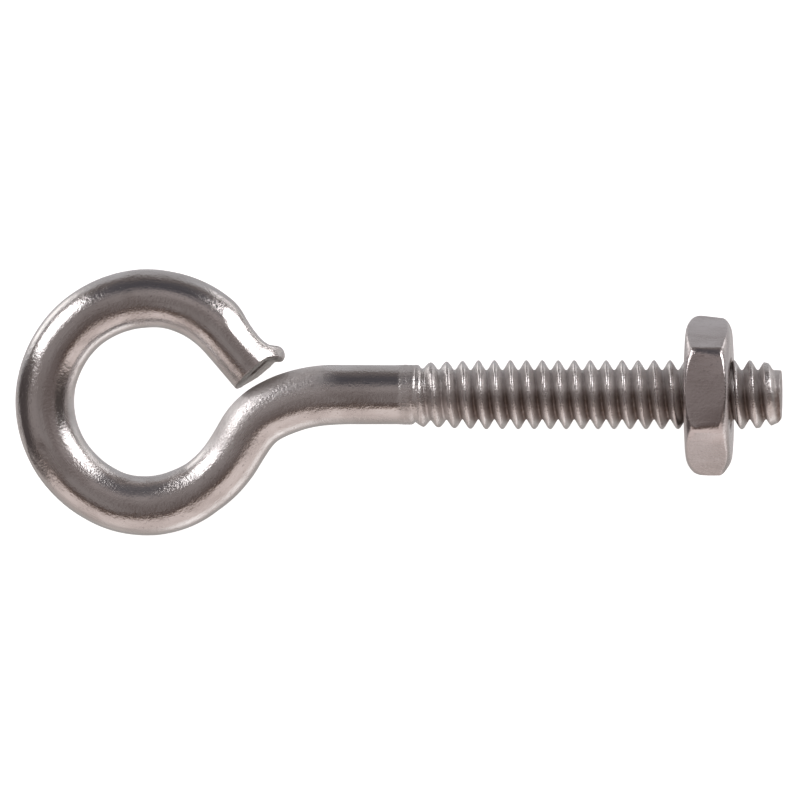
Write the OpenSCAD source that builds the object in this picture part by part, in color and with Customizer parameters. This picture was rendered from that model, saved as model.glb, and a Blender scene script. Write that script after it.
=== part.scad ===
// Turned wire eye bolt with a hexagon nut.
// Units are millimetres. The origin is the centre of the eye opening, the eye lies in the
// XY plane, +X runs along the shank from the eye to the free end, and +Z is square to the eye.
//
// The bolt is one length of round wire: an open eye, a reverse bend that brings the shank back
// near the middle of the eye, a short plain shank and a right-hand thread. The nut is a
// separate piece on that thread. Its bearing face is a thin ring let into its eye-side end,
// a node of its own so that it can advance along the bolt while the nut turns.

/* [Wire and eye] */
// Diameter of the round wire
wire_d = 3.9; // [3.8:0.02:3.92]
// Clear width across the inside of the eye
eye_inside_d = 9.8; // [9:0.1:13]
// Angle on the eye, from +X, where the round ends and the straight tail begins
tail_angle = 41; // [36:1:46]
// Length of the straight tail along its axis
tail_len = 3.45; // [3:0.05:3.5]
// Rake of the sheared end face
shear_rake = 7; // [0:1:10]
// Angle on the eye, from +X, where the wire starts to close toward the shank
close_angle = 262; // [258:1:266]

/* [Pinch at the sheared end] */
// Depth of the dent that the cropping blade leaves on the outer side
pinch_depth = 0.33; // [0.1:0.01:0.4]
// Height that the burr stands proud of the wire
burr_height = 0.26; // [0.1:0.02:0.3]

/* [Shank] */
// Height of the shank axis above the centre of the eye, along +Y
shank_offset = 0.5; // [0.3:0.05:0.7]
// Distance from the centre of the eye to the free end
reach = 42.04; // [36:0.01:60]
// Distance from the centre of the eye to the first turn of the thread
thread_from = 17.45; // [17:0.05:20]

/* [Thread] */
// Pitch of the thread, 24 turns to the inch
pitch = 1.0583; // [1.05:0.0001:1.07]
// Diameter over the crests of the bolt thread
thread_major_d = 4.62; // [4.6:0.01:4.66]
// Diameter at the root of the bolt thread
thread_root_d = 3.3; // [3.26:0.01:3.34]
// Where a crest stands on the +Y side, counted from the centre of the eye
thread_phase = 18.78; // [18.2:0.01:19.2]

/* [Nut] */
// Width across the flats
nut_af = 9.4; // [9.2:0.05:9.52]
// Width across the rounded corners
nut_corners_d = 10.72; // [10.5:0.02:10.8]
// Thickness
nut_t = 2.97; // [2.9:0.01:3.3]
// Where the nut's bearing face stands on the bolt, from the centre of the eye
nut_at = 35.75; // [20:0.05:38]
// Turn of the nut about the bolt axis, from a flat facing +Z
nut_roll = -4.3; // [-30:0.1:30]
// Diameter of the ring where the nut's chamfer meets its end faces
nut_face_d = 8.7; // [8.5:0.05:9]
// Angle of the nut's outer chamfer
nut_chamfer = 34; // [28:1:38]
// Radial room between the crests of the bolt thread and the grooves of the nut thread
thread_room = 0.12; // [0.1:0.01:0.14]

/* [Hidden] */
steel = [0.62, 0.60, 0.58];
wire_fn = 64;
round_fn = 96;

// Lengths of wire stop join_nip short of a join; a band join_proud above the wire bridges them.
join_nip = 0.05;
join_proud = 0.02;

// Radii and sweeps of the eye, the two closing arcs and the two arcs of the reverse bend
wire_r = wire_d / 2;
eye_r = (eye_inside_d + wire_d) / 2;
close_r1 = 0.883 * eye_r;
close_r2 = 1.1 * eye_r;
close_sweep1 = 30.7;
close_sweep2 = 36;
bend_r1 = wire_d;
bend_r2 = 2.5 * wire_d;
bend_sweep1 = 31;

// Headings of the wire, in degrees from +X, where each stretch begins
close_heading = close_angle - 270;
close_mid_heading = close_heading + close_sweep1;
lead_heading = close_mid_heading + close_sweep2;
bend_mid_heading = lead_heading - bend_sweep1;

function direction(angle) = [cos(angle), sin(angle)];

// Joins and arc centres along the wire. The closing arcs turn left, the bend arcs right.
tail_start = eye_r * direction(tail_angle);
close_start = eye_r * direction(close_angle);
close_centre1 = close_start - close_r1 * direction(close_heading - 90);
close_mid = close_centre1 + close_r1 * direction(close_mid_heading - 90);
close_centre2 = close_mid - close_r2 * direction(close_mid_heading - 90);
lead_start = close_centre2 + close_r2 * direction(lead_heading - 90);
// The straight lead covers the rise to the shank that the two bend arcs leave.
bend_rise = bend_r1 * (cos(bend_mid_heading) - cos(lead_heading))
    + bend_r2 * (1 - cos(bend_mid_heading));
lead_len = (shank_offset - lead_start[1] - bend_rise) / sin(lead_heading);
lead_end = lead_start + lead_len * direction(lead_heading);
bend_centre1 = lead_end - bend_r1 * direction(lead_heading + 90);
bend_mid = bend_centre1 + bend_r1 * direction(bend_mid_heading + 90);
bend_centre2 = bend_mid - bend_r2 * direction(bend_mid_heading + 90);
shank_start = bend_centre2 + bend_r2 * direction(90);
shank_overlap = 0.02; // plain shank runs this far into the thread

// Sheared end: tail_spare is cut away by the shear; blade_back is measured from the end.
tail_spare = 0.45;
blade_r = 3.4;
blade_back = 2.2;
blade_len = 6;
shear_size = [3, 8, 8];
burr_width = 2.3;
burr_back = 1;
burr_len = 1.4;
burr_r = wire_r + burr_height;
burr_base = wire_r - 0.6;
// Burr outline: [distance past the tail's end, distance outward from its axis]
burr_outline = [
    [-0.85, burr_base], [-0.85, wire_r - 0.2], [-0.35, burr_r + 0.1],
    [0.35, burr_r + 0.1], [0.35, burr_base]
];

// Thread form: 60 degree thread, crest flat of an eighth of the pitch
crest_r = thread_major_d / 2;
root_r = thread_root_d / 2;
crest_half = pitch / 16;
bolt_flank = (crest_r - root_r) * tan(30);
thread_steps = 40; // columns round one turn
row_gap = 0.004; // least spacing of rows gathered at an end
row_is_crest = [false, true, true, false];

// Start of the thread: a slight swell, then a fast and a slow growth to full depth
swell_r = 1.018 * wire_r;
fast_from = thread_from + 0.12;
fast_len = 0.4;
fast_share = 0.7;
slow_len = 4.2;

// Tip: the thread tapers at 45 degrees to a short plain land
thread_to = reach - 0.16;
land_r = root_r - 0.05;
land_len = 1; // mostly inside the threaded rod
taper_end_r = land_r + 0.06;

// Nut thread and the countersinks of its bore
nut_root_r = crest_r + thread_room;
nut_minor_r = root_r + 0.25;
nut_flank = (nut_root_r - nut_minor_r) * tan(30);
nut_sink_r = nut_root_r + 0.07;
nut_sink_depth = 0.45;
sink_floor_r = nut_minor_r - 0.05;
sink_over = 1; // cutters run this far past the end faces
tap_over = 0.3;

// Bearing ring, with ring_gap left round it and behind it
ring_t = 0.15;
ring_r = 4.2;
ring_gap = 0.02;

function clamp01(value) = min(1, max(0, value));

// Share of the full thread depth at a distance x along the bolt
function depth_share(x) =
    fast_share * clamp01((x - fast_from) / fast_len)
    + (1 - fast_share) * clamp01((x - fast_from - fast_len) / slow_len);

// Radius of the bolt thread at x, for a crest row or a root row
function bolt_r(x, is_crest) =
    min(
        swell_r + ((is_crest ? crest_r : root_r) - swell_r) * depth_share(x),
        taper_end_r + max(0, thread_to - x)
    );

// A screw-threaded rod as one closed surface, along X; angle 0 is +Y and grows toward +Z.
// Rows run along the axis and columns go round it; after one turn a column meets the row one
// pitch further on. Rows that would fall beyond an end are gathered just inside it, so both
// ends are flat. It has the bolt's form, or the nut's for cutting its bore.
module threaded_rod(from, to, is_bolt) {
    crest_root = crest_half + (is_bolt ? bolt_flank : nut_flank);
    // The four rows of one turn, from the middle of the crest
    row_offsets = [-crest_root, -crest_half, crest_half, crest_root];
    first = thread_phase - pitch * ceil((thread_phase - crest_root - (from - pitch)) / pitch);
    rows = 4 * ceil((to - first + crest_root) / pitch);
    last = thread_steps - 1;

    function raw_x(column, row) =
        first + pitch * (column / thread_steps + floor(row / 4)) + row_offsets[row % 4];
    function row_x(column, row) =
        row == 0 ? from : row == rows ? to :
        min(max(raw_x(column, row), from + row_gap * row), to - row_gap * (rows - row));
    function row_r(x, is_crest) =
        is_bolt ? bolt_r(x, is_crest) : (is_crest ? nut_root_r : nut_minor_r);
    function vertex(column, row) =
        let (
            x = row_x(column, row),
            radius = row_r(x, row_is_crest[row % 4]),
            angle = 360 * column / thread_steps
        )
        [x, radius * cos(angle), radius * sin(angle)];
    function id(column, row) = column < thread_steps ? column * (rows + 1) + row : row + 4;

    points = [for (j = [0:last]) for (m = [0:rows]) vertex(j, m)];
    sides = [
        for (j = [0:last])
            for (m = [0:(j < last ? rows : rows - 4) - 1])
                for (triangle = [
                    [id(j, m), id(j, m + 1), id(j + 1, m + 1)],
                    [id(j, m), id(j + 1, m + 1), id(j + 1, m)]
                ]) triangle
    ];
    // Fans that close the one-pitch step between the last column and the first
    seam_from = [for (m = [0:3]) [id(last, 0), id(0, m + 1), id(0, m)]];
    seam_to = [for (m = [rows - 4:rows - 1]) [id(last, m), id(last, m + 1), id(0, rows)]];
    cap_from = [[for (j = [0:last]) id(j, 0)]];
    cap_to = [[for (j = [last:-1:0]) id(j, rows)]];
    polyhedron(points, concat(sides, seam_from, seam_to, cap_from, cap_to), convexity = 10);
}

// One arc of wire in the XY plane, ending just short of each join
module wire_arc(centre, radius, from, sweep) {
    nip_angle = join_nip / radius * 180 / PI;
    translate([centre[0], centre[1], 0]) rotate([0, 0, from + nip_angle])
        rotate_extrude(angle = sweep - 2 * nip_angle, $fn = round_fn)
            translate([radius, 0]) circle(d = wire_d, $fn = wire_fn);
}

// Places children at a point of the wire, with +Z turned to its heading
module on_wire(point, heading) {
    translate([point[0], point[1], 0]) rotate([0, 0, heading]) rotate([0, 90, 0]) children();
}

// A straight length of wire, starting just short of the join at point
module wire_run(point, heading, len) {
    on_wire(point, heading) translate([0, 0, join_nip])
        cylinder(d = wire_d, h = len - join_nip, $fn = wire_fn);
}

// The faint band where the curvature changes, joining two lengths
module wire_join(point, heading) {
    on_wire(point, heading)
        cylinder(r = wire_r + join_proud, h = 4 * join_nip, center = true, $fn = wire_fn);
}

// Frame of the tail: X along the tail toward its end, Y outward from the eye
module at_tail() {
    rotate([0, 0, tail_angle]) translate([eye_r, 0, 0]) rotate([0, 0, -90]) children();
}

module at_tail_end() {
    at_tail() translate([tail_len, 0, 0]) children();
}

// Crescent of metal pushed out by the blade
module burr() {
    intersection() {
        translate([-burr_back, 0, 0]) rotate([0, 90, 0])
            cylinder(r = burr_r, h = burr_len, $fn = wire_fn);
        translate([0, 0, -burr_width / 2]) linear_extrude(burr_width) polygon(burr_outline);
    }
}

// The sheared end: pinched on the outer side, with a burr on the edge of the cut
module tail() {
    difference() {
        union() {
            at_tail() wire_run([0, 0], 0, tail_len + tail_spare);
            at_tail_end() burr();
        }
        at_tail_end() translate([-blade_back, wire_r - pinch_depth + blade_r, -blade_len / 2])
            cylinder(r = blade_r, h = blade_len, $fn = round_fn);
        at_tail_end() rotate([0, 0, -shear_rake])
            translate([0, -shear_size[1] / 2, -shear_size[2] / 2]) cube(shear_size);
    }
}

module eye_bolt() {
    color(steel) {
        tail();
        wire_arc([0, 0], eye_r, tail_angle, close_angle - tail_angle);
        wire_arc(close_centre1, close_r1, close_heading - 90, close_sweep1);
        wire_arc(close_centre2, close_r2, close_mid_heading - 90, close_sweep2);
        wire_run(lead_start, lead_heading, lead_len - join_nip);
        wire_arc(bend_centre1, bend_r1, bend_mid_heading + 90, bend_sweep1);
        wire_arc(bend_centre2, bend_r2, 90, bend_mid_heading);
        wire_run(shank_start, 0, thread_from + shank_overlap - shank_start[0]);
        for (join = [
            [tail_start, tail_angle + 90],
            [close_start, close_heading],
            [close_mid, close_mid_heading],
            [lead_start, lead_heading],
            [lead_end, lead_heading],
            [bend_mid, bend_mid_heading],
            [shank_start, 0]
        ]) wire_join(join[0], join[1]);
        translate([0, shank_offset, 0]) threaded_rod(thread_from, thread_to, true);
        // Plain land at the tip
        translate([reach - land_len, shank_offset, 0]) rotate([0, 90, 0])
            cylinder(r = land_r, h = land_len, $fn = wire_fn);
    }
}

// Solid of revolution about X from [distance, radius] points
module turned(points) {
    rotate([90, 0, 90]) rotate_extrude($fn = round_fn)
        polygon([for (point = points) [point[1], point[0]]]);
}

// Frame of the nut: origin on the bolt axis at the bearing face
module at_nut() {
    translate([nut_at, shank_offset, 0]) children();
}

module hex_nut() {
    corner_r = nut_corners_d / 2;
    face_r = nut_face_d / 2;
    chamfer_len = (corner_r - face_r) * tan(nut_chamfer);
    seat_r = ring_r + ring_gap;
    color(steel) difference() {
        at_nut() intersection() {
            rotate([nut_roll, 0, 0]) rotate([0, 90, 0]) rotate([0, 0, 30])
                cylinder(d = nut_af / cos(30), h = nut_t, $fn = 6);
            turned([
                [0, 0], [0, face_r], [chamfer_len, corner_r], [nut_t - chamfer_len, corner_r],
                [nut_t, face_r], [nut_t, 0]
            ]);
        }
        // Seat of the bearing ring and the countersink behind it
        at_nut() turned([
            [-sink_over, 0], [-sink_over, seat_r], [ring_t, seat_r], [ring_t, nut_sink_r],
            [ring_t + nut_sink_depth, sink_floor_r], [ring_t + nut_sink_depth, 0]
        ]);
        // Countersink at the far end
        at_nut() turned([
            [nut_t - nut_sink_depth, 0], [nut_t - nut_sink_depth, sink_floor_r],
            [nut_t, nut_sink_r], [nut_t + sink_over, nut_sink_r], [nut_t + sink_over, 0]
        ]);
        translate([0, shank_offset, 0])
            threaded_rod(nut_at - tap_over, nut_at + nut_t + tap_over, false);
    }
}

module nut_bearing_face() {
    back = ring_t - ring_gap;
    color(steel) at_nut()
        turned([[0, nut_sink_r], [0, ring_r], [back, ring_r], [back, nut_sink_r]]);
}

eye_bolt();
hex_nut();
nut_bearing_face();
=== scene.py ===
"""Turned wire eye bolt with its hexagon nut.

Shapes are worked out in millimetres in the CAD's own frame (origin at the centre of the eye,
+X along the shank to the free end, +Z square to the eye) and stored in metres. The studio and
camera are in metres.

  bolt_body  one length of round wire: cropped tail, eye, reverse bend, shank and rolled thread
  nut_body   the hexagon nut with its own internal thread
"""

from math import ceil, cos, exp, floor, pi, radians, sin, sqrt, tan

import bpy
import numpy as np
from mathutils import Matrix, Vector


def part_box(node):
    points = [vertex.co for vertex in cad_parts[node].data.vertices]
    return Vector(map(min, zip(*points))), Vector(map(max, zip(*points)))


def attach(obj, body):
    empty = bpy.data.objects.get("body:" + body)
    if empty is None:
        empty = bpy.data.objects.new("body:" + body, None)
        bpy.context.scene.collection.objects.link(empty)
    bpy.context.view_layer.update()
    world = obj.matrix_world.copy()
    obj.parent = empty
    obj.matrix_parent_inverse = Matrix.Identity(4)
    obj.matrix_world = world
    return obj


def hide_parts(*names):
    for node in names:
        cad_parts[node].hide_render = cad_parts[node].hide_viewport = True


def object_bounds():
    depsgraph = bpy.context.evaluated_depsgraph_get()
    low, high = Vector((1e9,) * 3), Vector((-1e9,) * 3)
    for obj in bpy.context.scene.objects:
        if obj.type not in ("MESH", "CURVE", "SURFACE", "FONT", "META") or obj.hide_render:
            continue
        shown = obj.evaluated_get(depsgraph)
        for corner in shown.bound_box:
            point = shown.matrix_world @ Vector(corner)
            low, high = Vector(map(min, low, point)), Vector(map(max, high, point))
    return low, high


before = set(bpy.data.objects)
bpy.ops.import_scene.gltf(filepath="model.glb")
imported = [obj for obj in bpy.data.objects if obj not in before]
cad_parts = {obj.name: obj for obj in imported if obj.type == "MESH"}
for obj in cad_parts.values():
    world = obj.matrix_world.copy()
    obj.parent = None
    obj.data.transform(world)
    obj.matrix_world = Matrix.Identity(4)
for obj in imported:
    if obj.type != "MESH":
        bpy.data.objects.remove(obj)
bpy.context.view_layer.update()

# ---------------------------------------------------------------- places taken from the frame
_, bolt_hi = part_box("eye_bolt")
bearing_lo, bearing_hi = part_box("nut_bearing_face")
_, nut_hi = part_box("hex_nut")
REACH = bolt_hi.x * 1000
AXIS_Y = (bearing_lo.y + bearing_hi.y) * 500
NUT_AT = bearing_lo.x * 1000
NUT_T = nut_hi.x * 1000 - NUT_AT

# ---------------------------------------------------------------- sizes of the wire and thread
WIRE_R = 1.95
EYE_R = 6.85  # to the wire's centreline
TAIL_ANGLE = 41.0  # where the straight tail meets the eye, degrees from +X
TAIL_END = 3.2  # length of the straight tail
EYE_END_ANGLE = 262
THREAD_FROM = 17.45
PITCH = 1.0583
PHASE = 18.78  # x of a crest at +Y
CREST_R = 2.31
ROOT_R = 1.625
SWELL_R = 1.985  # the blank just before the thread
COLS = 120
TURN = np.arange(COLS) * 2 * pi / COLS
ONES = np.ones(COLS)


# ---------------------------------------------------------------- small numeric helpers
def step(start, end, x):
    share = np.clip((np.asarray(x, float) - start) / (end - start), 0, 1)
    return share * share * (3 - 2 * share)


def bell(x, mid, half):
    return np.exp(-(((np.asarray(x, float) - mid) / half) ** 2))


def smooth_min(first, second, blend):
    share = np.clip(0.5 + 0.5 * (second - first) / blend, 0, 1)
    return second * (1 - share) + first * share - blend * share * (1 - share)


def smooth_max(first, second, blend):
    return -smooth_min(-first, -second, blend)


def wrap(degrees):
    """Brings angles into -180 to 180."""
    return (degrees + 180) % 360 - 180


def around(x, radius, turn, centre_y=0.0):
    """Points at a radius round the X axis, or a line beside it; turn runs from +Y toward +Z."""
    y = centre_y + radius * np.cos(turn)
    return np.stack([x + 0 * turn, y, radius * np.sin(turn)], -1)


def noise3(points, seed, scale=1.0, shift=0.0):
    """Smooth value noise, -1 to 1, at points * scale + shift."""
    points = points * np.asarray(scale) + shift
    cell = np.floor(points).astype(np.int64)
    inside = points - cell
    inside = inside * inside * inside * (inside * (inside * 6 - 15) + 10)
    total = np.zeros(len(points))
    for corner in np.ndindex(2, 2, 2):
        mixed = (cell + corner) @ np.array([374761393, 668265263, 1440662683])
        mixed = (mixed + seed * 1274126177) & 0xFFFFFFFF
        mixed = ((mixed ^ (mixed >> 13)) * 1274126177) & 0xFFFFFFFF
        mixed = mixed ^ (mixed >> 16)
        weight = np.where(corner, inside, 1 - inside).prod(axis=1)
        total += ((mixed & 0xFFFF) / 32767.5 - 1) * weight
    return total


# ---------------------------------------------------------------- thread form, shared by both
# rows of one turn of thread, as distances along X from its crest
OFFSETS = [-0.475, -0.42, -0.30, -0.17, -0.11, -0.075, -0.045, -0.022, 0.0,
           0.022, 0.045, 0.075, 0.11, 0.17, 0.30, 0.42, 0.475, PITCH / 2]
TURN_ROWS = len(OFFSETS)


def thread_profile(offset, crest, root, crest_half):
    """Radius of a 60 degree thread at an offset from its crest, with crest and root rounded."""
    flank = crest - (np.abs(offset) - crest_half) * sqrt(3)
    return smooth_max(smooth_min(flank, crest, 0.17), root, 0.12)


class Build:
    """Collects vertices, faces and per-vertex values, then makes one mesh object."""

    def __init__(self):
        self.points, self.count, self.faces = [], 0, []
        self.values = {key: [] for key in ("wire_co", "deep", "cut", "rub", "scuff")}

    def add(self, points, wire_co, deep=0.0, cut=0.0, rub=0.0, scuff=0.0):
        size = len(points)
        self.points.append(np.asarray(points, float))
        self.values["wire_co"].append(np.asarray(wire_co, float))
        for key, value in (("deep", deep), ("cut", cut), ("rub", rub), ("scuff", scuff)):
            self.values[key].append(np.broadcast_to(value, (size,)))
        self.count += size
        return np.arange(self.count - size, self.count)

    def add_round(self, x, radius, turn, x_zero, **values):
        """Points round the shank's axis; their straightened coordinate counts x from x_zero."""
        straight = around(x - x_zero, radius, turn)
        return self.add(around(x, radius, turn, AXIS_Y), straight, **values)

    def face(self, ids, flip):
        """A face without its repeated corners, left out if fewer than three remain."""
        seen = list(dict.fromkeys(ids))
        if len(seen) > 2:
            self.faces.append(tuple(reversed(seen)) if flip else tuple(seen))

    def chain(self, rings):
        """Quads between each closed ring and the next, in the direction of travel."""
        for near, far in zip(rings, rings[1:]):
            for j in range(len(near)):
                k = (j + 1) % len(near)
                self.faces.append((near[j], near[k], far[k], far[j]))

    def fan(self, ring, tip, flip=False):
        for j in range(len(ring)):
            k = (j + 1) % len(ring)
            self.faces.append((tip, ring[k], ring[j]) if flip else (tip, ring[j], ring[k]))

    def helical(self, turn, shares, ring_a, ring_b, x_from, x_to, place, flip=False):
        """A sheared grid: its rows follow the helix, and after one turn meet the row one pitch
        on. Rows past either end share that end's ring. shares are the columns' parts of a
        turn; place(x, offset, turn) adds the vertices."""
        nip = 0.009  # rows closer than this to an end join its ring
        size = len(shares)
        low = (floor((x_from - PHASE) / PITCH) - 2) * TURN_ROWS
        high = (ceil((x_to - PHASE) / PITCH) + 1) * TURN_ROWS

        def row_x(j, row):
            return PHASE + PITCH * (shares[j] + row // TURN_ROWS) + OFFSETS[row % TURN_ROWS]

        kept = {}
        for j in range(size):
            for row in range(low, high + 1):
                x = row_x(j, row)
                if x_from + nip < x < x_to - nip:
                    kept[(j, row)] = (len(kept), x)
        base = place(
            np.array([x for _, x in kept.values()]),
            np.array([OFFSETS[row % TURN_ROWS] for _, row in kept]),
            turn[[j for j, _ in kept]],
        )

        def vertex(j, row):
            if j == size:
                j, row = 0, row + TURN_ROWS
            if (j, row) in kept:
                return int(base[kept[(j, row)][0]])
            return int(ring_a[j] if row_x(j, row) <= x_from + nip else ring_b[j])

        for j in range(size):
            for row in range(low, high):
                corners = ((j, row), (j + 1, row), (j + 1, row + 1), (j, row + 1))
                self.face([vertex(*corner) for corner in corners], flip)

    def make(self, name):
        points = np.concatenate(self.points) * 0.001
        mesh = bpy.data.meshes.new(name)
        mesh.from_pydata(points.tolist(), [], [tuple(int(i) for i in f) for f in self.faces])
        for key, parts in self.values.items():
            data = np.concatenate(parts).astype(np.float32)
            if data.ndim == 2:
                attribute = mesh.attributes.new(key, "FLOAT_VECTOR", "POINT")
                attribute.data.foreach_set("vector", data.ravel())
            else:
                attribute = mesh.attributes.new(key, "FLOAT", "POINT")
                attribute.data.foreach_set("value", data)
        mesh.polygons.foreach_set("use_smooth", [True] * len(mesh.polygons))
        mesh.validate()
        mesh.update()
        made = bpy.data.objects.new(name, mesh)
        bpy.context.scene.collection.objects.link(made)
        return made


# ---------------------------------------------------------------- the path of the wire
# turns between the eye and the shank, degrees
TIGHT_TURN, WIDE_TURN, REVERSE_TURN = 30.7, 36, 31
# how far the eye's centreline bulges outward: degrees round the eye, millimetres
BULGE = (
    [30, 42, 62, 86, 110, 146, 188, 224, 242, 257, 268],
    [0.06, 0.07, 0.09, 0.05, 0.01, -0.01, -0.02, -0.055, -0.02, 0.025, 0.0],
)


def wire_path():
    """Centreline of the wire from the cropped end to the first thread: distance along it,
    x, y, heading, and angle round the eye in degrees."""
    tight_r, wide_r = 0.883 * EYE_R, 1.1 * EYE_R
    reverse_r, last_r = 2 * WIRE_R, 5 * WIRE_R
    # headings where the eye ends, between its two easier arcs, on the slope, in the last bend
    leave = EYE_END_ANGLE - 270.0
    middle = leave + TIGHT_TURN
    slope = middle + WIDE_TURN
    level = slope - REVERSE_TURN

    def unit(degrees):
        return np.array([cos(radians(degrees)), sin(radians(degrees))])

    def after_arc(point, radius, start, end, side):
        """End of an arc between two headings; side is -90 turning left, 90 turning right."""
        return point - radius * unit(start + side) + radius * unit(end + side)

    point = after_arc(EYE_R * unit(EYE_END_ANGLE), tight_r, leave, middle, -90)
    point = after_arc(point, wide_r, middle, slope, -90)
    rise = reverse_r * (cos(radians(level)) - cos(radians(slope)))
    rise += last_r * (1 - cos(radians(level)))
    lead = (AXIS_Y - point[1] - rise) / sin(radians(slope))
    point = after_arc(point + lead * unit(slope), reverse_r, slope, level, 90)
    point = after_arc(point, last_r, level, 0, 90)
    arcs = [  # length, curvature
        (TAIL_END, 0.0),
        (EYE_R * radians(EYE_END_ANGLE - TAIL_ANGLE), 1 / EYE_R),
        (tight_r * radians(TIGHT_TURN), 1 / tight_r),
        (wide_r * radians(WIDE_TURN), 1 / wide_r),
        (lead, 0.0),
        (reverse_r * radians(REVERSE_TURN), -1 / reverse_r),
        (last_r * radians(level), -1 / last_r),
        (THREAD_FROM - point[0], 0.0),
    ]
    gap = 0.01
    curve = np.concatenate([np.full(int(round(length / gap)), bend) for length, bend in arcs])
    # the bend of a real wire eases in and out of each arc
    half, ease = 110, 0.38
    kernel = np.exp(-((np.arange(-half, half + 1) * gap / ease) ** 2) / 2)
    kernel /= kernel.sum()
    curve = np.convolve(np.pad(curve, half, mode="edge"), kernel, mode="valid")
    heading = radians(TAIL_ANGLE + 90) + np.cumsum(curve) * gap
    start = EYE_R * unit(TAIL_ANGLE) + TAIL_END * unit(TAIL_ANGLE - 90)
    x = start[0] + np.cumsum(np.cos(heading)) * gap
    y = start[1] + np.cumsum(np.sin(heading)) * gap
    along = np.arange(1, len(x) + 1) * gap
    # close the small error that easing leaves, over the reverse bend
    share = step(along[-1] - 16, along[-1] - 6, along)
    x += (THREAD_FROM - x[-1]) * share
    y += (AXIS_Y - y[-1]) * share
    # hand-bent unevenness of the eye: it opens a little toward the tail
    angle = np.degrees(np.unwrap(np.arctan2(y, x)))
    angle -= 360 * round((angle[len(angle) // 3] - 130) / 360)
    bulge = np.pad(np.interp(angle, *BULGE), 60, mode="edge")
    bulge = np.convolve(bulge, np.ones(121) / 121, mode="valid")
    x += bulge * np.sin(heading)
    y -= bulge * np.cos(heading)
    heading = np.unwrap(np.arctan2(np.gradient(y), np.gradient(x)))
    return along, x, y, heading, angle


PATH_S, PATH_X, PATH_Y, PATH_HEADING, PATH_ANGLE = wire_path()
PATH_LEN = PATH_S[-1]
BOLT_ZERO = THREAD_FROM - PATH_LEN  # x on the shank where the straightened wire would start


def eye_at(angle):
    """Distance along the wire at an angle round the eye."""
    return float(np.interp(angle, PATH_ANGLE[:4400], PATH_S[:4400]))


# half width of the wire in the plane of the eye: distance along the wire, half width
WIDTHS = [
    (0.0, 1.90), (eye_at(80), 1.90), (eye_at(92), 1.95), (eye_at(262), 1.952),
    (eye_at(274), 1.974), (eye_at(290), 1.965), (eye_at(303), 1.885), (eye_at(335), 1.895),
    (PATH_LEN - 10.2, 1.94), (PATH_LEN - 8.3, 2.0), (PATH_LEN - 5.4, 2.0),
    (PATH_LEN - 4.2, 1.972), (PATH_LEN - 0.8, 1.965), (PATH_LEN - 0.3, SWELL_R),
    (PATH_LEN + 5, SWELL_R),
]


def half_widths(along):
    """Half width of the wire in the plane of the eye, and square to it."""
    flat = np.interp(along, *zip(*WIDTHS))
    tall = WIRE_R * np.sqrt(WIRE_R / flat)
    tall = tall + (SWELL_R - tall) * step(PATH_LEN - 0.8, PATH_LEN - 0.3, along)
    return flat, tall


# ---------------------------------------------------------------- the cropped tail
# Both tables run down the tail from the eye: distance, then millimetres.
# how far outward the pinched outer side stands
PINCH = (
    [-1.6, -0.9, -0.45, 0.06, 0.5, 0.89, 1.62, 1.95, 2.2, 2.32, 2.42, 2.6],
    [2.6, 2.16, 1.94, 1.71, 1.60, 1.545, 1.51, 1.55, 1.67, 1.83, 2.05, 2.5],
)
# height of the burr on the edge of the cut
BURR = (
    [2.3, 2.4, 2.5, 2.6, 2.7, 2.8, 2.9, 3.0, 3.1, 3.16, 3.2],
    [0, 0.05, 0.16, 0.26, 0.285, 0.27, 0.21, 0.12, 0.0, -0.1, -0.2],
)


def cut_face(outward, z):
    """How far down the tail the cropped face stands."""
    slant = 3.19 - 0.125 * z + 0.012 * outward
    lip = 0.58 * step(0.8, 1.6, outward) * bell(z, -0.1, 1.25)
    # the step where the blade's shear gave way to the break, and the raised side below it
    groove = 0.17 * bell(z, 0.42 + 0.22 * outward, 0.13)
    groove = groove * step(-0.75, -0.3, outward) * (1 - step(0.55, 0.95, outward))
    raised = 0.06 * step(0.45, 0.3, z - 0.22 * outward)
    raised = raised * step(-1.2, -0.2, outward) * (1 - step(0.9, 1.3, outward))
    grain = np.stack([outward * 3.1 + 7, z * 4.3 + 3, 0 * z + 0.5], -1)
    rough = 0.022 * noise3(grain, seed=5) + 0.012 * noise3(grain, seed=6, scale=2.7)
    return slant + lip - groove + raised + rough


def tail_outline(down, outward, z):
    """Moves points of the round section to where the blade left them: pinched on the outer
    side, with a burr pushed up on the edge of the cut. Returns the new outward distance."""
    flat = smooth_min(outward, np.interp(down, *PINCH), 0.42)
    # a narrow flat on the upper outer side
    facet = (1.84 - 0.81 * z) / 0.59 + 0.7 * step(0.3, -1.6, down) + 0.12 * step(1.5, 2.7, down)
    flat = smooth_min(flat, facet, 0.42)
    share = step(0.0, 0.9, outward) * step(-2.8, -1.2, down)
    moved = np.where(outward > 0, outward + (flat - outward) * share, outward)
    grain = np.stack([down, z, 0 * z], -1)
    uneven = 0.25 * noise3(grain, seed=9, scale=[2.2, 2.6, 1], shift=[3, 9, 0.5])
    burr = np.interp(down, *BURR) * (1 + uneven)
    return moved + np.where(outward > 0.4, burr * bell(z, -0.25, 0.85) * step(0.2, 1.6, moved), 0)


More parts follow.
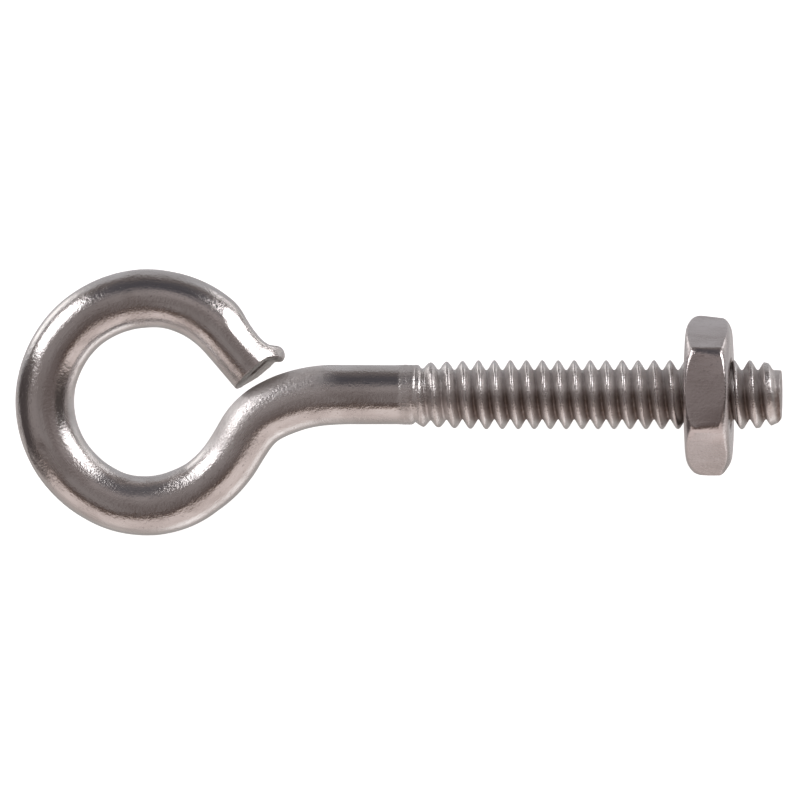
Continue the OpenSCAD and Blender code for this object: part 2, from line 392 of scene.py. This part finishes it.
# ---------------------------------------------------------------- the surface of the wire
def wire_point(along, scale=1.0, extra=0.0):
    """The ring of points on the wire's surface at one distance along it, turning from the inner
    side of the eye (+Y on the shank) toward +Z. scale shrinks the ring, extra adds to its
    radius. Returns the points and their straightened-wire coordinates."""
    along = along * ONES
    heading = np.interp(along, PATH_S, PATH_HEADING)
    flat, tall = half_widths(along)
    inward = (flat + extra) * np.cos(TURN) * scale
    z = (tall + extra) * np.sin(TURN) * scale
    straight = np.stack([along, inward, z], -1)
    # unevenness from the bending tool
    worn = 0.011 * noise3(straight, seed=2, scale=[0.42, 0.55, 0.55], shift=11)
    worn = worn + 0.006 * noise3(straight, seed=3, scale=[1.1, 1.3, 1.3], shift=5)
    worn = worn * (1 - 0.75 * step(PATH_LEN - 5, PATH_LEN - 3, along))
    # the rolling dies start to mark the shank before the first groove
    die = 0.016 * noise3(straight, seed=8, scale=[4.2, 0.9, 0.9], shift=3)
    die = die + 0.008 * noise3(straight, seed=10, scale=[9.0, 2.0, 2.0])
    worn = worn + step(PATH_LEN - 0.85, PATH_LEN - 0.45, along) * die
    inward = inward + worn * np.cos(TURN) * scale
    z = z + worn * np.sin(TURN) * scale
    down = TAIL_END - along
    on_tail = down > -2.8
    outward = np.where(on_tail, tail_outline(down, -inward, z), -inward)
    # the last rings lean over to meet the cropped face
    lean = step(1.7, TAIL_END, down)
    shift = np.where(on_tail, (cut_face(outward, z) - TAIL_END) * lean, 0.0)
    x = np.interp(along, PATH_S, PATH_X) + np.sin(heading) * outward - np.cos(heading) * shift
    y = np.interp(along, PATH_S, PATH_Y) - np.cos(heading) * outward - np.sin(heading) * shift
    return np.stack([x, y, z], -1), straight


# shallow scars on the eye and the lead: degrees round the eye, degrees round the wire,
# half length along the wire, half width in degrees, depth
NICKS = [
    (204, 109, 0.42, 8, 0.05), (212, 140, 0.5, 9, 0.04), (206, 146, 0.35, 6, 0.035),
    (189, 150, 0.9, 7, 0.02), (176, 138, 0.7, 6, 0.022), (252, 44, 0.5, 9, 0.03),
    (301, 40, 0.28, 12, 0.03), (306, 66, 0.35, 7, 0.02), (96, 136, 0.4, 8, 0.02),
    (82, 140, 0.45, 10, 0.022), (74, 150, 0.3, 7, 0.018), (112, 130, 0.3, 6, 0.014),
    (292, 118, 0.5, 5, 0.02),
]


def degrees_round(straight):
    return np.degrees(np.arctan2(straight[:, 2], straight[:, 1]))


def nick_depth(straight):
    turned = degrees_round(straight)
    depth = np.zeros(len(straight))
    for angle, around_wire, length, width, deepest in NICKS:
        lengthwise = bell(straight[:, 0], eye_at(angle), length)
        depth += deepest * lengthwise * bell(wrap(turned - around_wire), 0, width)
    return depth


def scuffed(straight):
    """Where the bending pins and the dies rubbed the wire dull, 0 to 1."""
    along, turned = straight[:, 0], wrap(degrees_round(straight))
    pins = bell(turned, 22, 62) * step(PATH_LEN - 15.0, PATH_LEN - 12.8, along)
    pins = pins * (1 - step(PATH_LEN - 6.2, PATH_LEN - 4.4, along))
    dies = 0.45 * step(PATH_LEN - 0.85, PATH_LEN - 0.5, along)
    inner = 0.20 * bell(turned, 50, 40) * step(21.0, 24.0, along)
    inner = inner * (1 - step(PATH_LEN - 14, PATH_LEN - 12, along))
    return np.clip(pins + dies + inner, 0, 1)


def add_wire_ring(shape, along, scale=1.0, cut=0.0):
    points, straight = wire_point(along, scale)
    depth = nick_depth(straight)
    if cut == 0 and depth.max() > 1e-4:
        core, _ = wire_point(along, scale, extra=-1.0)
        inward = core - points
        inward /= np.linalg.norm(inward, axis=1)[:, None]
        points = points + inward * depth[:, None]
    return shape.add(points, straight, cut=cut, rub=depth * 20, scuff=scuffed(straight))


# ---------------------------------------------------------------- the bolt thread
# largest radius near the tip: distance from the end, radius
TIP_CAP = (
    [0, 0.03, 0.1, 0.22, 0.6, 1.0, 2.0, 2.7],
    [1.56, 1.63, 1.72, 1.85, 2.02, 2.13, 2.285, 2.38],
)


def bolt_thread(x, offset, turn):
    """Radius of the bolt at x, offset from its turn's crest, and how deep it lies (0 to 1)."""
    full = thread_profile(offset, crest=CREST_R - 0.012, root=ROOT_R + 0.008, crest_half=0.082)
    full = full - 0.008 * bell(offset, 0, 0.026)  # rolled threads close over a faint seam
    # the crest of the last turn fades into a plain land at the tip
    fade = 1 - step(REACH - 0.62, REACH - 0.12, x - offset)
    full = ROOT_R + (full - ROOT_R) * np.where(full > ROOT_R, fade, 1.0)
    # crests grow and grooves sink over the first turns
    run = x - THREAD_FROM
    grow = 0.50 * step(0.15, 1.0, run) + 0.50 * np.clip((run - 0.8) / 3.8, 0, 1)
    sink = 0.70 * step(0.05, 0.5, run) + 0.30 * np.clip((run - 0.4) / 3.0, 0, 1)
    radius = SWELL_R + (full - SWELL_R) * np.where(full > SWELL_R, grow, sink)
    radius = smooth_min(radius, np.interp(REACH - x, *TIP_CAP), 0.05)
    spot = around(x, 1.0, turn)
    fine = noise3(spot, seed=12, scale=[1.9, 2.2, 2.2], shift=[0, 4, 8])
    radius = radius + 0.006 * fine * step(0, 0.5, run)
    # the first turns are ragged where the dies only brushed the wire
    ragged = noise3(spot, seed=14, scale=[5.5, 3.5, 3.5], shift=[0, 2, 3])
    ragged = ragged * (1 - step(0.6, 4.5, run))
    ringed = noise3(spot, seed=15, scale=[12.0, 1.6, 1.6], shift=[0, 2, 3])
    ringed = ringed * (1 - step(0.4, 3.2, run))
    radius = radius + 0.020 * (ragged + ringed) * step(-0.02, 0.2, run)
    deep = np.clip((CREST_R - full) / (CREST_R - ROOT_R), 0, 1) * step(0.3, 4.5, run)
    return radius, deep


def add_cropped_rings(shape):
    """Rings of the cropped face from its middle outward, then over the rounded edge."""
    points, straight = wire_point(0, scale=1e-4)
    tip = shape.add(points[:1], straight[:1], cut=1.0)[0]
    scales = (0.09, 0.18, 0.27, 0.36, 0.45, 0.54, 0.62, 0.70, 0.78, 0.85, 0.91, 0.955, 0.985)
    rings = [add_wire_ring(shape, 0.0, scale, cut=1.0) for scale in scales]
    rings.append(add_wire_ring(shape, 0.02, scale=0.997, cut=0.7))
    rings.append(add_wire_ring(shape, 0.055, cut=0.25))
    return tip, rings


def wire_stations():
    """Distances of the plain rings: close on the tail, wider, close again before the thread."""
    gap = 0.085
    tail = np.arange(0.11, 4.6, gap)
    after = tail[-1] + gap
    plain = np.linspace(after, PATH_LEN - 1.0, int((PATH_LEN - after) / 0.2))
    return [*tail, *plain, *np.linspace(PATH_LEN - 1.0, PATH_LEN, 21)[1:-1]]


def add_bolt_thread(shape, x, offset, turn):
    radius, deep = bolt_thread(x, offset, turn)
    # on the upper +Y side, toward the soft boxes, the grooves get less of the painted shade and
    # grime in their colour, a painted lighter side; they are also duller there
    lit_side = 0.8 * bell(wrap(np.degrees(turn) - 25) ** 2, 0, 58.0 ** 2)
    scuff = 0.34 - 0.22 * step(THREAD_FROM + 0.5, THREAD_FROM + 4, x)
    scuff = scuff + 0.12 * bell(offset, 0, 0.11) + lit_side * deep
    return shape.add_round(x, radius, turn, BOLT_ZERO, deep=deep * (1 - lit_side), scuff=scuff)


def add_end_face(shape, ring, edge_r):
    """End face at +X, slightly dished and uneven."""
    rings = [ring]
    for share in (0.985, 0.94, 0.86, 0.76, 0.66, 0.56, 0.46, 0.36, 0.26, 0.16, 0.07):
        radius = edge_r * share
        spot = around(0.5, radius, TURN)[:, [1, 2, 0]]
        uneven = 0.012 * noise3(spot, seed=21, scale=[3, 3, 1], shift=[0, 5, 0])
        x = np.minimum(REACH - 0.012 * (share > 0.96) - 0.03 * (1 - share) + uneven, REACH)
        rings.append(shape.add_round(x, radius, TURN, BOLT_ZERO, cut=1.0))
    shape.chain(rings)
    tip = shape.add([[REACH - 0.03, AXIS_Y, 0]], [[REACH - BOLT_ZERO, 0, 0]], cut=1.0)[0]
    shape.fan(rings[-1], tip)


def build_bolt():
    shape = Build()
    tip, rings = add_cropped_rings(shape)
    rings += [add_wire_ring(shape, along) for along in wire_stations()]
    shape.fan(rings[0], tip, flip=True)
    thread_start = shape.add_round(THREAD_FROM, SWELL_R, TURN, BOLT_ZERO, scuff=0.45)
    shape.chain([*rings, thread_start])

    x_end = REACH - 0.015
    offset = (x_end - PHASE - PITCH * TURN / (2 * pi) + PITCH / 2) % PITCH - PITCH / 2
    end_r, _ = bolt_thread(x_end * ONES, offset, TURN)
    thread_end = shape.add_round(x_end, end_r, TURN, BOLT_ZERO, cut=0.6, scuff=0.3)
    shape.helical(
        TURN, np.arange(COLS) / COLS, thread_start, thread_end, THREAD_FROM, x_end,
        lambda x, offset, turn: add_bolt_thread(shape, x, offset, turn),
    )
    add_end_face(shape, thread_end, end_r)
    return shape.make("bolt_body")


# ---------------------------------------------------------------- the nut
NUT_AF = 9.4  # across flats
NUT_ROLL = -4.3  # degrees the nut is turned on the bolt
NUT_FIRST_CORNER = 90 + NUT_ROLL + 30
NUT_ROOT_R = CREST_R + 0.12
NUT_MINOR_R = 1.90
NUT_SINK_R = 2.52  # mouth of the countersink
NUT_MOUTH_IN = 0.03  # the mouth's distance inside either face
BEARING_R, OUTER_R = 4.34, 4.31  # edges of the two end faces
# columns as degrees to either side of a corner, close together over its rounding
CORNER_COLS = [
    0, 0.4, 0.8, 1.2, 1.6, 2.0, 2.4, 2.8, 3.2, 3.6, 4.0, 4.45, 4.95, 5.6, 6.5, 7.7, 9.2,
    11.0, 13.1, 15.5, 18.2, 21.1, 24.0, 27.0, 30.0,
]
# rings of the wall from an end face to its middle, as distances from that face
WALL_ROWS = [
    0.003, 0.009, 0.02, 0.04, 0.065, 0.1, 0.14, 0.18, 0.22, 0.26, 0.30, 0.34, 0.38, 0.42,
    0.46, 0.5, 0.54, 0.58, 0.62, 0.66, 0.7, 0.74, 0.78, 0.83, 0.9, 1.0, 1.12, 1.28,
]


def nut_angles():
    """Columns round the nut, from +Y toward +Z."""
    corners = [NUT_FIRST_CORNER + 60 * k for k in range(6)]
    return np.radians(sorted({
        round((corner + side * away) % 360, 6)
        for corner in corners for side in (-1, 1) for away in CORNER_COLS
    }))


NUT_TURN = nut_angles()
# the corner toward -Y is the sharpest
NUT_SHARP = bell(wrap(np.degrees(NUT_TURN) - 180), 0, 40)


def hex_radius(corner_r):
    """Radius of the hexagon in each column, with its corners rounded to corner_r."""
    from_flat = (np.degrees(NUT_TURN) - (90 + NUT_ROLL) + 30) % 60 - 30
    centre = (NUT_AF / 2 - corner_r) / cos(radians(30))
    away = np.radians(30 - np.abs(from_flat))
    chord = np.maximum(corner_r * corner_r - (centre * np.sin(away)) ** 2, 0)
    arc = centre * np.cos(away) + np.sqrt(chord)
    line = NUT_AF / 2 / np.cos(np.radians(from_flat))
    edge = np.arctan2((NUT_AF / 2 - corner_r) * tan(radians(30)), NUT_AF / 2)
    return np.where(np.abs(np.radians(from_flat)) < edge, line, arc)


def nut_wall(x):
    """Radii of the wall at x from the bearing face, where the blank was crowned; the outer end
    is chamfered, and the corners' rounding grows toward it."""
    share = float(step(0.1, NUT_T - 0.5, x))
    hexagon = hex_radius(0.55 + 0.55 * share - (0.30 + 0.50 * share) * NUT_SHARP)
    # the corners fall away a little toward the outer end
    fall = 0.06 + 0.17 * max(0.0, (x - 0.9) / (NUT_T - 0.9)) ** 1.3
    fall = fall * (1 - 0.9 * NUT_SHARP)
    hexagon = hexagon - fall * step(NUT_AF / 2 + 0.05, NUT_AF / 2 + 0.55, hexagon)
    crown = BEARING_R + 0.98 * (1 - (1 - min(x / 0.95, 1)) ** 2) ** 0.72
    crown = crown + 0.25 * max(0, x - 0.7)
    from_end = NUT_T - x
    chamfer = OUTER_R + 0.14 * (1 - exp(-from_end / 0.05)) + from_end * 1.62
    corner = step(NUT_AF / 2 + 0.05, NUT_AF / 2 + 0.5, hexagon)
    crowned = smooth_min(hexagon, crown, 0.12 + 0.08 * corner)
    return smooth_min(crowned, chamfer, 0.15 + 0.27 * corner)


def add_nut_ring(shape, x, radius):
    """A ring at x from the bearing face; pressed faces are never quite flat."""
    straight = around(x - NUT_T / 2, radius, NUT_TURN)
    uneven = 0.008 * noise3(straight, seed=31, scale=0.8, shift=4)
    uneven = uneven + 0.004 * noise3(straight, seed=32, scale=2.3)
    return shape.add(around(NUT_AT + x, radius + uneven, NUT_TURN, AXIS_Y), straight)


def add_nut_face(shape, x, sign, edge_r):
    """Rings of an end face from its edge inward; sign is the direction into the nut."""
    return [
        add_nut_ring(shape, x + sign * inset, radius)
        for radius, inset in (
            (edge_r - 0.05, 0.0), (edge_r - 0.2, 0.0), (3.8, 0.004), (3.4, 0.006),
            (3.0, 0.006), (2.75, 0.004), (2.62, 0.002), (2.56, 0.01),
        )
    ]


def add_nut_thread(shape, x, offset, turn):
    """The internal thread follows the bolt's helix, with room round it."""
    radius = thread_profile(offset, crest=NUT_ROOT_R, root=NUT_MINOR_R, crest_half=0.075)
    from_end = np.minimum(x - NUT_AT, NUT_AT + NUT_T - x)
    radius = smooth_max(radius, NUT_SINK_R + 0.03 - from_end * 1.1, 0.03)
    deep = np.clip((radius - NUT_MINOR_R) / (NUT_ROOT_R - NUT_MINOR_R), 0, 1)
    return shape.add_round(x, radius, turn, NUT_AT + NUT_T / 2, deep=deep)


def build_nut():
    shape = Build()
    rows = WALL_ROWS + [NUT_T / 2] + [NUT_T - x for x in reversed(WALL_ROWS)]
    wall = [add_nut_ring(shape, x, nut_wall(x)) for x in rows]
    shape.chain(wall)
    outer_mouth = add_nut_ring(shape, NUT_T - NUT_MOUTH_IN, NUT_SINK_R)
    shape.chain([wall[-1], *add_nut_face(shape, NUT_T, -1, OUTER_R), outer_mouth])
    bearing_mouth = add_nut_ring(shape, NUT_MOUTH_IN, NUT_SINK_R)
    bearing = add_nut_face(shape, 0.0, 1, BEARING_R)
    shape.chain([bearing_mouth, *reversed(bearing), wall[0]])
    shape.helical(
        NUT_TURN, NUT_TURN / (2 * pi), bearing_mouth, outer_mouth,
        NUT_AT + NUT_MOUTH_IN, NUT_AT + NUT_T - NUT_MOUTH_IN,
        lambda x, offset, turn: add_nut_thread(shape, x, offset, turn), flip=True,
    )
    return shape.make("nut_body")


# ---------------------------------------------------------------- node helpers
class Nodes:
    """Builds the node tree of a material or world; most methods return an output socket."""

    def __init__(self, owner):
        owner.use_nodes = True
        self.tree = owner.node_tree
        self.tree.nodes.clear()

    def add(self, kind, inputs=None, **props):
        """A node; each input is either a socket to link or a value."""
        node = self.tree.nodes.new(kind)
        for key, value in props.items():
            setattr(node, key, value)
        for key, value in (inputs or {}).items():
            if isinstance(value, bpy.types.NodeSocket):
                self.tree.links.new(value, node.inputs[key])
            else:
                node.inputs[key].default_value = value
        return node

    def math(self, operation, *values, clamp=False):
        inputs = dict(enumerate(values))
        return self.add("ShaderNodeMath", inputs, operation=operation, use_clamp=clamp).outputs[0]

    def times(self, value, by):
        return self.math("MULTIPLY", value, by)

    def vmath(self, operation, *values):
        inputs = dict(enumerate(values))
        return self.add("ShaderNodeVectorMath", inputs, operation=operation).outputs["Vector"]

    def ramp(self, value, start, end, low=0.0, high=1.0, kind="SMOOTHSTEP"):
        inputs = {"Value": value, "From Min": start, "From Max": end,
                  "To Min": low, "To Max": high}
        return self.add("ShaderNodeMapRange", inputs, interpolation_type=kind).outputs["Result"]

    def noise(self, vector, detail, rough, scale=1.0, distortion=0.0):
        inputs = {"Vector": vector, "Scale": scale, "Detail": detail, "Roughness": rough,
                  "Distortion": distortion}
        return self.add("ShaderNodeTexNoise", inputs, noise_dimensions="3D").outputs[0]

    def mix(self, amount, under, over):
        # sockets 6 and 7 and output 2 are the colour ones
        inputs = {0: amount, 6: under, 7: over}
        return self.add("ShaderNodeMix", data_type="RGBA", inputs=inputs).outputs[2]

    def attr(self, name, output="Fac"):
        return self.add("ShaderNodeAttribute", attribute_name=name).outputs[output]


def rgb(red, green, blue):
    return (red, green, blue, 1.0)


def steel(name, tint, along, rough):
    """Bright drawn stainless steel: fine lines along the metal, smudges, pits, and grime with
    painted shade in hollows. along is the noise frequency of the lines on each axis of the
    straight metal."""
    material = bpy.data.materials.new(name)
    net = Nodes(material)
    wire_co = net.attr("wire_co", "Vector")
    deep, cut, rub, scuff = (net.attr(key) for key in ("deep", "cut", "rub", "scuff"))
    lines = net.noise(net.vmath("MULTIPLY", wire_co, along), detail=5.0, rough=0.62)
    finer = tuple(2.6 * value for value in along)
    fine = net.noise(net.vmath("MULTIPLY", wire_co, finer), detail=3.0, rough=0.6)
    broad = net.vmath("MULTIPLY", wire_co, (0.35, 0.6, 0.6))
    smudge = net.noise(broad, detail=3.0, rough=0.5, distortion=0.4)
    grain = net.noise(wire_co, scale=5.5, detail=3.0, rough=0.60)
    speck = net.noise(wire_co, scale=3.2, detail=5.0, rough=0.7)
    pitting = net.noise(wire_co, scale=4.2, detail=3.5, rough=0.68)
    pits = net.ramp(pitting, start=0.58, end=0.70)

    def shade(red, green, blue):
        return rgb(tint[0] * red, tint[1] * green, tint[2] * blue)

    # colour layers, each over the last: smudges, lines, pits, grime with painted shade in
    # hollows, cut faces, nicks
    grime_and_shade = net.ramp(speck, start=0.25, end=0.7, low=0.55, high=0.95)
    torn = net.ramp(speck, start=0.35, end=0.65, low=0.1, high=0.85)
    nicked = net.ramp(speck, start=0.35, end=0.65)
    colour = rgb(*tint)
    for amount, over in (
        (net.ramp(smudge, start=0.35, end=0.72), shade(0.82, 0.80, 0.79)),
        (net.times(net.ramp(lines, start=0.50, end=0.78), by=0.4), shade(0.7, 0.67, 0.66)),
        (net.times(pits, by=0.45), shade(0.55, 0.52, 0.52)),
        # grime and painted shade: the grooves of the thread are darkened brown in colour, part
        # dirt and part the shade that falls in them
        (net.times(net.ramp(deep, start=0.30, end=0.95), grime_and_shade), rgb(0.205, 0.150, 0.128)),
        (net.times(cut, torn), rgb(0.34, 0.31, 0.29)),
        (net.math("MULTIPLY", rub, nicked, clamp=True), rgb(0.30, 0.27, 0.26)),
    ):
        colour = net.mix(amount, colour, over)

    # scuffed metal is less metallic
    metallic = net.math("MULTIPLY_ADD", scuff, -0.38, 1.0)
    # roughness, raised in hollows, scuffs and cuts
    roughness = net.math(
        "ADD",
        net.ramp(smudge, start=0.3, end=0.75, low=rough - 0.04, high=rough + 0.07),
        net.ramp(fine, start=0.35, end=0.75, low=-0.02, high=0.08),
    )
    roughness = net.math("ADD", roughness, net.times(deep, by=0.42))
    dull = net.ramp(speck, start=0.3, end=0.7, low=0.18, high=0.38)
    roughness = net.math("ADD", roughness, net.times(scuff, dull))
    roughness = net.math("ADD", roughness, net.times(cut, by=0.22), clamp=True)
    # relief
    height = net.math("ADD", net.times(lines, by=1.1), net.times(fine, by=0.5))
    smudged = net.ramp(smudge, start=0.4, end=0.7, low=0.95, high=1.9)
    mottle = net.math("ADD", smudged, net.times(scuff, by=2.2))
    height = net.math("ADD", height, net.times(net.times(grain, mottle), by=3.6))
    height = net.math("SUBTRACT", height, net.times(pits, by=0.7))
    height = net.math("ADD", height, net.times(net.times(grain, cut), by=7.0))
    relief = {"Strength": 1.0, "Distance": 0.0000045, "Height": height}
    bump = net.add("ShaderNodeBump", relief)
    surface = net.add("ShaderNodeBsdfPrincipled", {
        "Base Color": colour, "Metallic": metallic, "Roughness": roughness,
        "Normal": bump.outputs[0],
    })
    net.add("ShaderNodeOutputMaterial", {0: surface.outputs[0]})
    return material


# ---------------------------------------------------------------- make the pieces
bolt = build_bolt()
nut = build_nut()
bolt.data.materials.append(steel(
    "drawn_wire_steel", tint=(0.645, 0.616, 0.608), along=(0.22, 7.0, 7.0), rough=0.145))
nut.data.materials.append(steel(
    "pressed_nut_steel", tint=(0.602, 0.557, 0.553), along=(0.7, 7.5, 7.5), rough=0.20))

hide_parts("eye_bolt")
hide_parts("hex_nut", "nut_bearing_face")
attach(bolt, "bolt")
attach(nut, "nut")


# ---------------------------------------------------------------- studio
# Patches of light by direction, in degrees: azimuth, half width, polar angle from and to,
# softness in azimuth and in polar angle; then colour.
HIGH_WALL = [(180, 32, 30, 60, 10, 7, (0.33, 0.295, 0.29))]  # beyond the eye (-X)
LOW_DARK = [
    (186, 24, 68, 122, 8, 6, (0.092, 0.078, 0.078)),  # low beyond the eye (-X)
    (0, 22, 46, 88, 6, 6, (0.080, 0.068, 0.064)),  # beyond the tip (+X)
]
BRIGHT = [
    (310, 34, 100, 122, 12, 8, (1.35, 1.3, 1.28)),  # floor toward +X and -Y
    # two soft boxes, each with what the floor shows of it
    (142, 12.5, 52, 86, 4.5, 4.5, (4.9, 4.85, 4.9)),
    (142, 15, 110, 134, 6, 6, (1.7, 1.7 * 0.98, 1.7 * 0.97)),
    (38, 12.5, 52, 86, 4.5, 4.5, (4.9, 4.85, 4.9)),
    (38, 15, 110, 134, 6, 6, (0.85, 0.85 * 0.98, 0.85 * 0.97)),
    (54, 9, 105, 117, 4, 4, (2.3, 2.28, 2.28)),  # a glint off the floor's edge
]


def studio_world():
    """Soft studio light as a function of direction: two soft boxes low on the +Y side toward
    -X and +X, a broad pale card on the -Y side, a dim ceiling and a pale floor."""
    world = bpy.data.worlds.new("studio")
    bpy.context.scene.world = world
    net = Nodes(world)
    generated = net.add("ShaderNodeTexCoord").outputs["Generated"]
    direction = net.vmath("NORMALIZE", generated)
    x, y, z = net.add("ShaderNodeSeparateXYZ", {0: direction}).outputs
    azimuth = net.times(net.math("ARCTAN2", y, x), by=180 / pi)
    polar = net.times(net.math("ARCCOSINE", z), by=180 / pi)

    def window(value, start, end, soft):
        rising = net.ramp(value, start - soft, start + soft)
        return net.times(rising, net.ramp(value, end - soft, end + soft, low=1.0, high=0.0))

    def azimuth_from(mid):
        """Azimuth measured from mid, -180 to 180."""
        return net.math("WRAP", net.math("SUBTRACT", azimuth, mid), 180.0, -180.0)

    def sector(mid, half, soft):
        return window(azimuth_from(mid), -half, half, soft)

    def paint(under, patches):
        for mid, half, top, bottom, soft_azimuth, soft_polar, light in patches:
            amount = net.times(sector(mid, half, soft_azimuth),
                               window(polar, top, bottom, soft_polar))
            under = net.mix(amount, under, rgb(*light))
        return under

    # ceiling: lighter toward +Y, and toward the eye's end (-X)
    colour = net.mix(net.ramp(y, start=-0.06, end=0.44),
                     rgb(0.187, 0.155, 0.149), rgb(0.41, 0.365, 0.36))
    eye_end = net.times(net.ramp(x, start=0.06, end=-0.2), by=0.85)
    colour = net.mix(eye_end, colour, rgb(0.315, 0.285, 0.28))
    # wall all round
    colour = net.mix(net.ramp(polar, start=42, end=62), colour, rgb(0.235, 0.205, 0.195))
    colour = paint(colour, HIGH_WALL)
    # pale card on the -Y side; its upper edge rises toward +X, and is darkest just above
    edge = net.ramp(azimuth_from(270), start=-35, end=35, low=62, high=43, kind="LINEAR")
    over = net.math("SUBTRACT", polar, edge)
    above = net.times(sector(mid=270, half=62, soft=10), window(over, start=-21, end=6, soft=6))
    colour = net.mix(above, colour, rgb(0.118, 0.086, 0.076))
    border = net.times(sector(mid=275, half=60, soft=6), net.ramp(over, start=-4.5, end=0.5))
    colour = net.mix(border, colour, rgb(0.42, 0.29, 0.22))
    card = net.times(sector(mid=275, half=60, soft=5), net.ramp(over, start=-1.0, end=3.0))
    colour = net.mix(card, colour, rgb(0.90, 0.80, 0.765))
    # floor, darker low on the -Y side
    ground = net.mix(net.ramp(y, start=-0.5, end=0.5),
                     rgb(0.64, 0.585, 0.56), rgb(0.56, 0.56, 0.575))
    low = net.times(net.ramp(polar, start=128, end=146), net.ramp(y, start=0.0, end=-0.3))
    ground = net.mix(low, ground, rgb(0.47, 0.46, 0.445))
    colour = net.mix(net.ramp(polar, start=98, end=108), colour, ground)
    colour = paint(colour, LOW_DARK)
    # dark +Y side, slightly blue, thinning toward the floor
    thinning = net.ramp(polar, start=62, end=106, low=1.0, high=0.0)
    shade = net.times(net.ramp(polar, start=24, end=50), thinning)
    dark = net.times(sector(mid=88, half=34, soft=11), shade)
    colour = net.mix(dark, colour, rgb(0.098, 0.094, 0.106))
    colour = paint(colour, BRIGHT)
    # the camera itself sees plain white
    light = net.add("ShaderNodeBackground", {"Color": colour})
    seen = net.add("ShaderNodeBackground", {"Color": rgb(1.0, 1.0, 1.0)})
    camera_ray = net.add("ShaderNodeLightPath").outputs["Is Camera Ray"]
    both = net.add("ShaderNodeMixShader",
                   {0: camera_ray, 1: light.outputs[0], 2: seen.outputs[0]})
    net.add("ShaderNodeOutputWorld", {0: both.outputs[0]})


FLOOR_GAP = 0.0006  # below the lowest point
FLOOR_HALF = 1.2


def studio_floor():
    low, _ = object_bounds()
    z = low.z - FLOOR_GAP
    signs = ((-1, -1), (1, -1), (1, 1), (-1, 1))
    mesh = bpy.data.meshes.new("floor")
    mesh.from_pydata([(x * FLOOR_HALF, y * FLOOR_HALF, z) for x, y in signs], [], [(0, 1, 2, 3)])
    floor_object = bpy.data.objects.new("floor", mesh)
    bpy.context.scene.collection.objects.link(floor_object)
    material = bpy.data.materials.new("pale_floor")
    net = Nodes(material)
    diffuse = net.add("ShaderNodeBsdfDiffuse", {"Color": rgb(0.9, 0.9, 0.9)})
    # seen from straight above the floor is burnt out to white; at a low angle a shadow shows
    camera_ray = net.add("ShaderNodeLightPath").outputs["Is Camera Ray"]
    incoming = net.add("ShaderNodeNewGeometry").outputs["Incoming"]
    steep = net.add("ShaderNodeSeparateXYZ", {0: incoming}).outputs[2]
    strength = net.times(camera_ray, net.ramp(steep, start=0.55, end=0.95, low=0.42, high=0.80))
    glow = net.add("ShaderNodeEmission", {"Color": rgb(1, 1, 1), "Strength": strength})
    both = net.add("ShaderNodeAddShader", {0: diffuse.outputs[0], 1: glow.outputs[0]})
    net.add("ShaderNodeOutputMaterial", {0: both.outputs[0]})
    mesh.materials.append(material)
    floor_object.visible_glossy = False


studio_world()
studio_floor()

# ---------------------------------------------------------------- camera
LENS, SENSOR = 1000.0, 36.0
VIEW_WIDTH = 0.05298  # what the picture spans at the target
TARGET = Vector((0.01675, 0.00015, 0.0))
TILT = radians(3.6)  # from straight above toward +X
distance = VIEW_WIDTH / 2 / (SENSOR / 2 / LENS)
camera_data = bpy.data.cameras.new("camera")
camera_data.lens = LENS
camera_data.sensor_width = SENSOR
camera_data.clip_start = 0.01
camera_data.clip_end = 50.0
camera = bpy.data.objects.new("camera", camera_data)
scene = bpy.context.scene
scene.collection.objects.link(camera)
camera.location = TARGET + Vector((sin(TILT), 0, cos(TILT))) * distance
camera.rotation_euler = (0.0, TILT, 0.0)
scene.camera = camera
scene.view_settings.view_transform = "Standard"
scene.view_settings.look = "None"
